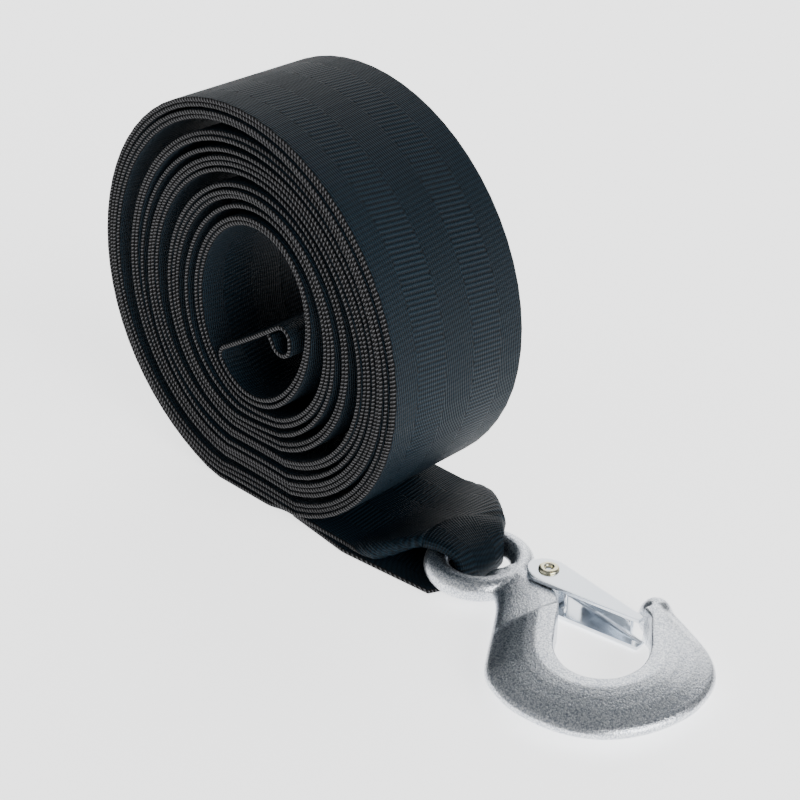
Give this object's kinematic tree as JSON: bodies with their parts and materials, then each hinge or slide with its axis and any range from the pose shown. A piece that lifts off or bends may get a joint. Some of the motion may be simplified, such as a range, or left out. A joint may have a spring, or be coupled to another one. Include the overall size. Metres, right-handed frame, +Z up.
{
  "type": "winch strap",
  "caption": "Length of polyester webbing wound into a roll, with its end looped through the eye of a forged snap hook with a sprung latch, for the drum of a hand winch.",
  "frame": {"origin": "on the floor under the middle of the part's box", "axes": "+X from the roll towards the hook, +Y across the webbing towards the side the hook opens to, +Z up from the floor"},
  "size_m": [0.2242, 0.0724, 0.127],
  "materials": {
    "webbing": "woven, satin",
    "hook_forging": "zinc plated, fine grain",
    "latch_sheet": "bright zinc plated",
    "rivet": "yellow zinc plated"
  },
  "bodies": {
    "strap": {"strap": "webbing"},
    "hook": {"hook": "hook_forging", "latch_rivet": "rivet"},
    "latch": {"latch": "latch_sheet"}
  },
  "joints": [
    {"name": "hook_swing", "type": "hinge", "parent": "strap", "child": "hook", "pos_m": [0.01855, 0.00546, 0.006], "axis": [-0.2113, -0.9774, 0], "range_deg": [0, 82]},
    {"name": "latch_pivot", "type": "hinge", "parent": "hook", "child": "latch", "pos_m": [0.05103, 0.00898, 0.006], "axis": [0, 0, 1], "range_deg": [-30, 0], "stiffness_Nm_per_rad": 0.03, "springref_deg": 22.92}
  ]
}
